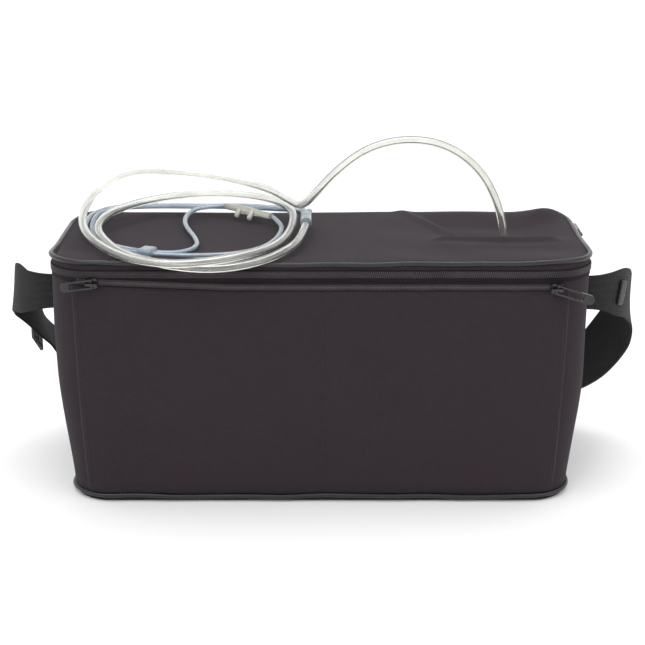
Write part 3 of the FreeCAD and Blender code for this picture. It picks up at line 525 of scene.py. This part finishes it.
# ---- bag pieces ----
def make_walls():
    """The stuffed wall of the bag, one cloth shell from the base to the main zip."""
    heights = np.concatenate([np.linspace(2.2 * MM, 20 * MM, 9), np.linspace(26 * MM, 170 * MM, 26),
                              np.linspace(174 * MM, ZIP_Z - 0.4 * MM, 7)])
    points, normals, uv = wall(FULL_RING, heights)
    verts, faces = thick_grid(points, normals, WALL_T, closed_cols=True)
    uvs = np.concatenate([uv.reshape(-1, 2)] * 2)
    shell = mesh_object("bag_wall_cloth", verts, faces, UNIT, M["nylon"], uvs)
    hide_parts("front_wall", "back_wall", "left_wall", "right_wall")


def plate_grid(size, r, rows=60, cols=150):
    """Unit grid stretched over a rounded rectangle: x, y arrays."""
    v = np.sin(np.linspace(-math.pi / 2, math.pi / 2, rows)) * size[1] / 2
    into = np.clip(np.abs(v) - (size[1] / 2 - r), 0, r)
    half = size[0] / 2 - r + np.sqrt(np.maximum(r * r - into * into, 0))
    u = np.sin(np.linspace(-math.pi / 2, math.pi / 2, cols) * 0.92) / math.sin(math.pi / 2 * 0.92)
    return u[None, :] * half[:, None], np.repeat(v[:, None], cols, axis=1)


def make_base():
    """Stiffened base panel with a slightly rounded rim."""
    x, y = plate_grid(BASE_SIZE - 1 * MM, CORNER_R, 40, 90)
    half_x, half_y = BASE_SIZE / 2
    inward = np.minimum(1 - np.abs(y) / half_y, 1 - np.abs(x) / half_x)
    rim = np.minimum(1, inward / RIM_SHARE)
    z = (1 - np.clip(rim, 0, 1)) * 0.8 * MM
    points = np.stack([x, y, z], -1)
    down = np.zeros_like(points)
    down[..., 2] = -1
    verts, faces = thick_grid(points[:, ::-1], down, 1.6 * MM)
    uvs = np.concatenate([np.stack([x, y], -1)[:, ::-1].reshape(-1, 2)] * 2)
    base = mesh_object("base_cloth", verts, faces, UNIT, M["nylon"], uvs)
    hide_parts("base_panel")


def make_pad():
    """Foam pad on the base: crowned, rounded at its edges, hollowed a little where the unit stands."""
    low, high = (np.array(v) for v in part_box("base_foam_pad"))
    x, y = plate_grid((high - low)[:2] - 1 * MM, CORNER_R - 5 * MM, 40, 90)
    from_edge = np.minimum(1 - np.abs(y) / (high[1]), 1 - np.abs(x) / (high[0]))
    round_off = (1 - smooth_step(np.clip(from_edge / 0.06, 0, 1))) * 0.35 * (high[2] - low[2])
    dimple = 0.15 * MM * (np.sin(x / (9 * MM)) * np.sin(y / (9 * MM))) ** 2
    points = np.stack([x, y, high[2] - 0.1 * MM - round_off - dimple], -1)
    up = np.zeros_like(points)
    up[..., 2] = 1
    verts, faces = thick_grid(points, up, (high[2] - low[2]) * 0.6)
    pad = mesh_object("base_pad_foam", verts, faces, UNIT, M["foam"])
    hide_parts("base_foam_pad")


def edge_line(z, offset, lift=None, stations=FULL_RING):
    """Points just outside the soft wall at one height."""
    points, _, _ = wall(stations, [z], offset)
    line = points[0]
    if lift is not None:
        line[:, 2] += lift(line[:, 0], line[:, 1])
    return line


def make_piping():
    """Round vinyl piping at the base and round the lid."""
    slow = lambda x: 0.45 * np.sin(x / (31 * MM) + 0.8)
    quick = lambda x, y: 0.3 * np.sin(x / (12 * MM) + y / (15 * MM))
    ripple = lambda x, y: (slow(x) + quick(x, y)) * MM
    base = edge_line(4.6 * MM, 0.6 * MM, ripple)
    verts, faces, uv = sweep(base, circle(1.95 * MM, 12), up=(0, 0, 1), closed=True)
    piping = mesh_object("base_piping_cord", verts, faces, UNIT, M["piping"], uv)
    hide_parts("base_piping")
    line = []
    for station in FULL_RING:
        (x, y), (nx, ny), _ = outline_at(station, TOP_SIZE, CORNER_R)
        line.append((x + nx * 0.3 * MM, y + ny * 0.3 * MM, 0))
    line = np.array(line)
    corner = lid_height(line[:, 0], line[:, 1]) - LID_TOP
    lift = np.maximum(corner, -1.0 * MM) * 0.85
    line[:, 2] = LID_TOP - 1.7 * MM + lift + lid_edge_drop(line[:, 0], line[:, 1])
    verts, faces, uv = sweep(line, circle(2.0 * MM, 12), up=(0, 0, 1), closed=True)
    piping = mesh_object("lid_piping_cord", verts, faces, "lid", M["piping"], uv)
    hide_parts("lid_piping")


def make_lid():
    """Lid cloth with its slit, and the band under it down to the zip."""
    x, y = plate_grid(TOP_SIZE - 1.2 * MM, CORNER_R, 96, 230)
    rim = np.maximum(np.abs(y) / (TOP_SIZE[1] / 2), np.abs(x) / (TOP_SIZE[0] / 2))
    z = lid_height(x, y) + lid_edge_drop(x, y) * smooth_step((-y / MM - 30) / 50)
    z = z - smooth_step((rim - 0.955) / 0.045) * 1.2 * MM
    row = int(np.argmin(np.abs(y[:, 0] - SLIT_Y)))
    y[row] = SLIT_Y
    opening = smooth_step((x[row] - SLIT_X0) / (12 * MM)) * smooth_step((SLIT_X1 - x[row]) / (12 * MM))
    tube = np.exp(-((x[row] - 148.5 * MM) / (9 * MM)) ** 2)
    gap = opening * (0.5 + 3.4 * tube) * MM
    front, back = y[row] - gap, y[row] + gap
    x = np.concatenate([x[:row + 1], x[row:row + 1], x[row + 1:]])
    z = np.concatenate([z[:row + 1], z[row:row + 1] - 1.6 * MM * opening, z[row + 1:]])
    y = np.concatenate([y[:row], front[None], back[None], y[row + 1:]])
    points = np.stack([x, y, z], -1)
    normals = np.cross(np.gradient(points, axis=1), np.gradient(points, axis=0))
    normals /= np.maximum(np.linalg.norm(normals, axis=2), 1e-12)[..., None]
    verts, faces = thick_grid(points, normals, 2.4 * MM)
    cols, n = x.shape[1], x.size
    inside = set(int(j) for j in np.nonzero(opening[:-1] + opening[1:] > 0.02)[0])
    open_a = {(row * cols + j, row * cols + j + 1) for j in inside}
    kept = []
    for face in faces:
        pair = tuple(sorted(face)[:2])
        in_slit = pair in open_a and len(set(face) & {pair[0] + cols, pair[1] + cols}) == 2
        low = tuple(v - n for v in pair)
        in_slit_below = low in open_a and len(set(face) & {pair[0] + cols, pair[1] + cols}) == 2
        if not in_slit and not in_slit_below:
            kept.append(face)
    for a, b in open_a:
        kept.append((a, b, b + n, a + n))
        kept.append((b + cols, a + cols, a + cols + n, b + cols + n))
    uvs = np.concatenate([np.stack([x, y], -1).reshape(-1, 2)] * 2)
    lid = mesh_object("lid_cloth", verts, kept, "lid", M["nylon"], uvs)
    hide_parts("lid_panel")
    heights = np.linspace(ZIP_Z + 2.2 * MM, LID_TOP - 1.5 * MM, 6)
    points, normals, uv = wall(FULL_RING, heights, 0.2 * MM)
    share = ((heights - heights[0]) / (heights[-1] - heights[0]))[:, None]
    points[..., 2] += share * lid_edge_drop(points[..., 0], points[..., 1])
    verts, faces = thick_grid(points, normals, 3.0 * MM, closed_cols=True)
    uvs = np.concatenate([uv.reshape(-1, 2)] * 2)
    band = mesh_object("lid_band_cloth", verts, faces, "lid", M["nylon"], uvs)
    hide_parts("lid_band")


def make_hinge_strip():
    """Cloth at the back that joins the wall to the lid."""
    reach = footprint(ZIP_Z)[0] / 2 - CORNER_R
    xs = np.linspace(-reach, reach, 120)
    rows = np.linspace(-5 * MM, 5 * MM, 13)
    y = TOP_SIZE[1] / 2 + 0.9 * MM
    wave = lambda x: 0.25 * MM * math.sin(x / (14 * MM))
    points = np.array([[(x, y + wave(x), ZIP_Z + dz) for x in -xs] for dz in rows])
    normals = np.zeros_like(points)
    normals[..., 1] = 1
    verts, faces = thick_grid(points, normals, 0.7 * MM)
    uvs = np.concatenate([points[..., [0, 2]].reshape(-1, 2)] * 2)
    strip = mesh_object("back_hinge_cloth", verts, faces, UNIT, M["nylon"], uvs)
    strip.parent = None
    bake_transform(strip)


def zip_line(kind):
    """Points and outward normals along a zip's middle line, a millimetre or less apart."""
    if kind == "main":
        stations = [s for s in FULL_RING if s[0] in (2, 3, 4, 5, 6)]
        points, normals, _ = wall(stations, [ZIP_Z], 0)
        points, normals = points[0], normals[0]
    else:
        xs = np.linspace(-186 * MM, 186 * MM, 400)
        points, normals = [], []
        for x in xs:
            p, n, _ = wall([front_station(x)], [pocket_zip_height(x)], 0)
            points.append(p[0, 0])
            normals.append(n[0, 0])
        points, normals = np.array(points), np.array(normals)
    return points, normals


def evenly(points, normals, pitch):
    """Points, normals and tangents at an even pitch along a line."""
    length = np.concatenate([[0], np.cumsum(np.linalg.norm(np.diff(points, axis=0), axis=1))])
    at = np.arange(pitch, length[-1] - pitch, pitch)
    p = np.stack([np.interp(at, length, points[:, k]) for k in range(3)], 1)
    n = np.stack([np.interp(at, length, normals[:, k]) for k in range(3)], 1)
    t = np.gradient(p, axis=0)
    t /= np.linalg.norm(t, axis=1)[:, None]
    return p, n, t


def teeth(name, points, normals, side, body, node, half, out, pitch=1.5 * MM):
    """One side of a coil zip's teeth: side is 1 above the middle line, -1 below, 0 for both."""
    p, n, t = evenly(points, normals, pitch / 2)
    up = np.cross(n, t)
    up *= np.sign(up[:, 2:3])
    starts, ends = [], []
    for sign in ((1, -1) if side == 0 else (side,)):
        sel = slice(0, None, 2) if sign > 0 else slice(1, None, 2)
        c = p[sel] + n[sel] * out
        starts.append(c - up[sel] * sign * 0.5 * MM * (side == 0) + up[sel] * sign * 0.15 * MM * (side != 0))
        ends.append(c + up[sel] * sign * half)
    verts, faces = capsules(np.concatenate(starts), np.concatenate(ends), 0.52 * MM)
    obj = mesh_object(name, verts, faces, body, M["teeth"])
    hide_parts(node)


def tape(name, points, normals, low, high, out, body, thickness=0.5 * MM):
    """Flat zip tape beside the teeth, from low to high of the middle line."""
    rows = np.linspace(low, high, 4)
    grid = np.stack([points + normals * out + np.array([0, 0, r]) for r in rows])
    norm = np.stack([normals] * len(rows))
    verts, faces = thick_grid(grid, norm, thickness)
    length = np.concatenate([[0], np.cumsum(np.linalg.norm(np.diff(points, axis=0), axis=1))])
    uv = np.stack(np.broadcast_arrays(length[None, :], rows[:, None]), -1).reshape(-1, 2)
    mesh_object(name, verts, faces, body, M["tape"], np.concatenate([uv, uv]))


def make_zips():
    """Teeth and tapes of the main zip and of the pocket zip."""
    points, normals = zip_line("main")
    teeth("main_zip_teeth_upper", points, normals, 1, "lid", "main_zip_upper_chain", 2.3 * MM, 1.0 * MM)
    teeth("main_zip_teeth_lower", points, normals, -1, UNIT, "main_zip_lower_chain", 2.3 * MM, 1.0 * MM)
    tape("main_zip_tape_upper", points, normals, 0.3 * MM, 3.4 * MM, 0.75 * MM, "lid")
    tape("main_zip_tape_lower", points, normals, -6.0 * MM, -0.3 * MM, 0.75 * MM, UNIT)
    points, normals = zip_line("pocket")
    teeth("pocket_zip_teeth", points, normals, 0, UNIT, "pocket_zip_chain", 2.1 * MM, 1.0 * MM)
    tape("pocket_zip_tape", points, normals, -5.0 * MM, 4.4 * MM, 0.62 * MM, UNIT)


# ---- front pocket ----
def pocket_half(z):
    """Half width of the pocket panel at a height."""
    t = (z - POCKET_LOW[2]) / (POCKET_HIGH[2] - POCKET_LOW[2])
    return (186.0 + 5.0 * t) * MM


def pocket_top(x):
    """The pocket's upper hem, which climbs with its zip."""
    return POCKET_HIGH[2] + 0.6 * MM + 0.9 * (pocket_zip_height(x) - POCKET_ZIP_Z)


def make_pocket():
    """Stuffed pocket panel with a hem, a middle seam and its side edges."""
    cols, rows = 220, 70
    u = np.sin(np.linspace(-math.pi / 2, math.pi / 2, cols) * 0.9) / math.sin(math.pi / 2 * 0.9)
    v = np.concatenate([np.linspace(0, 0.9, rows - 12), np.linspace(0.91, 1.0, 12)])
    points = np.zeros((rows, cols, 3))
    normals = np.zeros_like(points)
    for i, t in enumerate(v):
        for j, s in enumerate(u):
            z0 = 7 * MM
            x = s * pocket_half(z0 + t * (POCKET_HIGH[2] - z0))
            z = z0 + t * (pocket_top(x) - z0)
            seam = math.exp(-((x - 1.5 * MM) / (1.6 * MM)) ** 2)
            edge = smooth_step((1 - abs(s)) / 0.012)
            hem = smooth_step((1 - t) / 0.012)
            plump = 1.1 * math.sin(math.pi * t) * abs(math.sin(math.pi * s)) ** 0.7
            sag = 0.35 * math.sin(9.0 * s + 2.2 * t) * math.sin(math.pi * t)
            foot = smooth_step(t / 0.05)
            out = (0.5 + 1.5 * min(edge, hem) * foot + plump * 0.9 + sag - 0.8 * seam) * MM
            p, n, _ = wall([front_station(x, z)], [z], out)
            points[i, j], normals[i, j] = p[0, 0], n[0, 0]
    verts, faces = thick_grid(points, normals, 1.2 * MM)
    uv = points[..., [0, 2]].reshape(-1, 2)
    panel = mesh_object("front_pocket_cloth", verts, faces, UNIT, M["nylon"],
                        np.concatenate([uv, uv]))
    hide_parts("front_pocket_panel")
    return points, normals


def stitch_line(name, line, normals, body, length=1.9 * MM, pitch=2.7 * MM, radius=0.24 * MM):
    """Row of stitches lying on a line."""
    p, n, t = evenly(np.asarray(line), np.asarray(normals), pitch)
    p = p + n * radius * 0.5
    verts, faces = capsules(p - t * length / 2, p + t * length / 2, radius, 5)
    mesh_object(name, verts, faces, body, M["thread"])


def make_stitching(points, normals):
    """Stitches round the pocket panel and down its middle."""
    rows, cols, _ = points.shape
    x, z = points[..., 0], points[..., 2]
    top = np.array([int(np.argmin(np.abs(z[:, j] - (z[-1, j] - 3.2 * MM)))) for j in range(cols)])
    pick = np.arange(4, cols - 4)
    stitch_line("pocket_hem_stitches", points[top[pick], pick], normals[top[pick], pick], UNIT)
    for name, edge, sign in (("left", 0, 1), ("right", cols - 1, -1)):
        chosen = [int(np.argmin(np.abs(x[i] - (x[i, edge] + sign * 3.6 * MM)))) for i in range(3, rows - 2)]
        span = np.arange(3, rows - 2)
        stitch_line("pocket_%s_stitches" % name, points[span, chosen], normals[span, chosen], UNIT)
    middle = int(np.argmin(np.abs(x[rows // 2] - 1.5 * MM)))
    stitch_line("pocket_middle_stitches", points[3:-2, middle], normals[3:-2, middle], UNIT)


# ---- shoulder strap ----
def nurbs_line(name, route, steps=10):
    """Curve object of a route and the points along its smooth line."""
    curve = bpy.data.curves.new(name, "CURVE")
    curve.dimensions = "3D"
    spline = curve.splines.new("NURBS")
    spline.points.add(len(route) - 1)
    for point, xyz in zip(spline.points, route):
        point.co = (xyz[0] * MM, xyz[1] * MM, xyz[2] * MM, 1)
    spline.order_u = 3
    spline.use_endpoint_u = True
    curve.resolution_u = steps
    obj = bpy.data.objects.new(name, curve)
    bpy.context.scene.collection.objects.link(obj)
    bpy.context.view_layer.update()
    mesh = bpy.data.meshes.new_from_object(obj)
    points = np.array([v.co[:] for v in mesh.vertices])
    bpy.data.meshes.remove(mesh)
    bpy.data.objects.remove(obj)
    bpy.data.curves.remove(curve)
    return points


def make_strap():
    """Shoulder strap: webbing on edge that leans as it goes and is pleated where it is sewn on."""
    line = nurbs_line("strap_line", [p[:3] for p in STRAP_ROUTE], 12)
    share = np.linspace(0, 1, len(line))
    lean = np.radians(np.interp(share * (len(STRAP_ROUTE) - 1), range(len(STRAP_ROUTE)),
                                [p[3] for p in STRAP_ROUTE]))[:, None]
    along = np.gradient(line, axis=0)
    along /= np.linalg.norm(along, axis=1)[:, None]
    side = np.cross(along, (0, 0, 1.0))
    side /= np.linalg.norm(side, axis=1)[:, None]
    across = np.cross(side, along) * np.cos(lean) + side * np.sin(lean)
    face = np.cross(along, across)
    pleat = np.maximum(1 - share / 0.085, 0) + np.maximum(1 - (1 - share) / 0.07, 0)
    narrow = 1 - 0.30 * smooth_step(pleat)
    half = 24
    s = np.concatenate([np.linspace(-1, 1, half), np.linspace(1, -1, half)])
    skin = np.concatenate([np.full(half, 1.0), np.full(half, -1.0)])
    skin[[0, half - 1, half, 2 * half - 1]] *= 0.35
    fold = 0.9 * MM * smooth_step(pleat)[:, None] * np.cos(s * 5 * math.pi)[None, :]
    fold = fold + 0.5 * MM * np.sin(line.sum(1) / (21 * MM))[:, None] * s[None, :] ** 2
    up = (s * STRAP_W / 2)[None, :] * narrow[:, None]
    verts = line[:, None] + across[:, None] * up[..., None]
    verts = verts + face[:, None] * (fold + skin[None, :] * STRAP_T / 2)[..., None]
    rows, cols = verts.shape[:2]
    faces = grid_faces(rows, cols, closed_cols=True)
    faces += [tuple(reversed(range(cols))), tuple((rows - 1) * cols + j for j in range(cols))]
    length = np.concatenate([[0], np.cumsum(np.linalg.norm(np.diff(line, axis=0), axis=1))])
    uv = np.stack(np.broadcast_arrays(length[:, None], s[None, :] * STRAP_W / 2), -1).reshape(-1, 2)
    strap = mesh_object("shoulder_strap_webbing", verts.reshape(-1, 3), faces, UNIT,
                        M["webbing"], uv)
    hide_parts("shoulder_strap")


# ---- cannula ----
def coil_points():
    """Points of the coil's turns, anticlockwise from above, one every COIL_STEP degrees."""
    first, last = COIL_STATIONS[0][0], COIL_STATIONS[-1][0]
    count = round((last - first) / COIL_STEP)
    points = []
    for i in range(1, count + 1):
        angle = first + (last - first) * i / count
        row = max(k for k in range(len(COIL_STATIONS) - 1) if COIL_STATIONS[k][0] <= angle)
        low, high = COIL_STATIONS[row:row + 2]
        share = (angle - low[0]) / (high[0] - low[0])
        reach, height = (low[k] + (high[k] - low[k]) * share for k in (1, 2))
        turn = math.radians(angle)
        x, y = COIL_MIDDLE[0] + reach * math.cos(turn), COIL_MIDDLE[1] + reach * math.sin(turn)
        points.append((x, y, height))
    return points


def hollow_tube(name, route, diameter, bore, material, node):
    """Hollow tube along a route's smooth line, with its wall closed at both ends."""
    line = nurbs_line(name + "_line", route)
    outer, faces, uv = sweep(line, circle(diameter / 2, 20), capped=False)
    inner, inner_faces, inner_uv = sweep(line, circle(bore / 2, 20), capped=False)
    n, cols = len(outer), 20
    faces += [tuple(n + v for v in reversed(face)) for face in inner_faces]
    last = n - cols
    for j in range(cols):
        k = (j + 1) % cols
        faces.append((j, k, n + k, n + j))
        faces.append((last + k, last + j, n + last + j, n + last + k))
    tube = mesh_object(name, np.concatenate([outer, inner]), faces, "lid", material,
                       np.concatenate([uv, inner_uv]))
    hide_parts(node)
    length = float(np.linalg.norm(np.diff(line, axis=0), axis=1).sum())
    return tube, line, length


def bezier(a, b, c, n=24):
    """Points of a quadratic curve from a to c that leans towards b."""
    t = np.linspace(0, 1, n)[:, None]
    return (1 - t) ** 2 * np.array(a) + 2 * t * (1 - t) * np.array(b) + t * t * np.array(c)


def swept_parts(name, parts, body, slot, material, *nodes):
    """One piece made of round bars; each part has its line, its radii along it and the bore."""
    verts, faces, uvs = [], [], []
    for line, radii, bore in parts:
        radii = np.interp(np.linspace(0, 1, len(line)), np.linspace(0, 1, len(radii)), radii) * MM
        section = circle(1.0, 18)[None] * radii[:, None, None]
        v, f, uv = sweep(line, section, capped=not bore)
        if bore:
            inner, inner_faces, inner_uv = sweep(line, section * bore, capped=False)
            n = len(v)
            f += [tuple(n + k for k in reversed(face)) for face in inner_faces]
            last = n - 18
            for k in range(18):
                m = (k + 1) % 18
                f += [(k, m, n + m, n + k), (last + m, last + k, n + last + k, n + last + m)]
            v, uv = np.concatenate([v, inner]), np.concatenate([uv, inner_uv])
        base = sum(len(part) for part in verts)
        verts.append(v)
        uvs.append(uv)
        faces += [tuple(base + k for k in face) for face in f]
    piece = mesh_object(name, np.concatenate(verts), faces, body, material, np.concatenate(uvs))
    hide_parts(*nodes)
    return piece


def make_fittings():
    """Nosepiece with its two prongs, and the Y connector."""
    left, right = np.array(LEFT_ROUTE[-1]) * MM, np.array(RIGHT_ROUTE[-1]) * MM
    along = (right - left) / np.linalg.norm(right - left)
    middle = (left + right) / 2 + np.array([-1.5, -2.0, 0.5]) * MM
    bar = bezier(left, middle, right, 60)
    parts = [(bar, [2.5, 2.9, 2.7, 3.3, 3.9, 3.5, 3.9, 3.3, 2.7, 2.9, 2.5], 0)]
    for k in (-7 * MM, 7 * MM):
        root = middle + along * k
        bend, tip = root + PRONG_BEND * MM, root + PRONG_TIP * MM
        parts.append((bezier(root, bend, tip, 14), [2.7, 2.3, 2.1, 2.1], 0.55))
    nosepiece = swept_parts("nosepiece_vinyl", parts, "lid", "soft_nosepiece", M["soft"], "nosepiece")
    start = np.array(coil_points()[-1]) * MM
    arms = [np.array(LEFT_ROUTE[0]) * MM, np.array(RIGHT_ROUTE[0]) * MM]
    fork = start + (sum(arms) / 2 - start) * 0.66
    parts = [(bezier(start, (start + fork) / 2, fork, 16), [4.7, 4.7, 4.4, 4.4, 4.6, 3.9], 0)]
    for arm in arms:
        parts.append((bezier(fork - (fork - start) * 0.2, fork, arm, 16), [3.2, 2.9, 2.9, 3.05, 2.8], 0))
    wye = swept_parts("y_connector_vinyl", parts, "lid", "blue_tube", M["blue"], "y_connector")
    return nosepiece, wye


def make_cannula():
    """Supply tube, the two lariat tubes, and the fittings on them."""
    nosepiece, wye = make_fittings()
    route = ARCH_ROUTE + coil_points()
    tube, line, length = hollow_tube("supply_tubing", route, TUBE_D, 3.4 * MM,
                                     M["clear"], "supply_tube")
    for side, side_route in (("left", LEFT_ROUTE), ("right", RIGHT_ROUTE)):
        tube, line, length = hollow_tube("lariat_tubing_" + side, side_route, LARIAT_D, 2 * MM,
                                         M["blue"], "lariat_tube_" + side)


# ---- camera, lights and floor ----
def make_stage():
    """Pale floor and backdrop, soft lights and the camera."""
    mesh = bpy.data.meshes.new("floor")
    far = 6.0
    ys = [-far, 1.2, 1.6, 1.9, 2.05, 2.1, 2.1]
    zs = [0, 0, 0.04, 0.18, 0.45, 0.9, far]
    verts = [(x, y, z - 0.0004) for y, z in zip(ys, zs) for x in (-far, far)]
    mesh.from_pydata(verts, [], grid_faces(len(ys), 2, flip=True))
    mesh.shade_smooth()
    floor = bpy.data.objects.new("floor", mesh)
    bpy.context.scene.collection.objects.link(floor)
    mat, nodes, links, shader = node_material("floor_paper")
    links.new(colour_between(nodes, links, noise(nodes, links, 2.0), (0.90, 0.90, 0.90), (0.93, 0.93, 0.93)),
              shader.inputs["Base Color"])
    shader.inputs["Roughness"].default_value = 0.9
    mesh.materials.append(mat)
    world = bpy.data.worlds.new("studio")
    bpy.context.scene.world = world
    world.use_nodes = True
    world.node_tree.nodes["Background"].inputs["Color"].default_value = (1, 1, 1, 1)
    world.node_tree.nodes["Background"].inputs["Strength"].default_value = 1.0
    for name, place, size, power in (("key", (-0.9, -1.2, 2.0), 1.6, 13), ("fill", (1.4, -1.3, 1.1), 1.5, 6),
                                     ("top", (0.1, 0.5, 2.1), 1.8, 16)):
        light = bpy.data.lights.new(name, "AREA")
        light.size = size
        light.energy = power
        obj = bpy.data.objects.new(name, light)
        obj.location = place
        obj.rotation_euler = (Vector((0, 0, 0.1)) - Vector(place)).to_track_quat("-Z", "Y").to_euler()
        bpy.context.scene.collection.objects.link(obj)
    data = bpy.data.cameras.new("camera")
    data.sensor_width = 36.0
    data.lens = 84.06
    camera = bpy.data.objects.new("camera", data)
    camera.location = (0.0015, -1.1875, 0.502)
    camera.rotation_euler = (math.radians(90 - 17.64), 0, 0)
    bpy.context.scene.collection.objects.link(camera)
    bpy.context.scene.camera = camera
    bpy.context.scene.view_settings.view_transform = "Standard"


make_stage()
dress_cad_nodes()
make_cannula()
make_walls()
make_base()
make_pad()
make_piping()
make_lid()
make_hinge_strip()
make_zips()
pocket_points, pocket_normals = make_pocket()
make_stitching(pocket_points, pocket_normals)
make_strap()
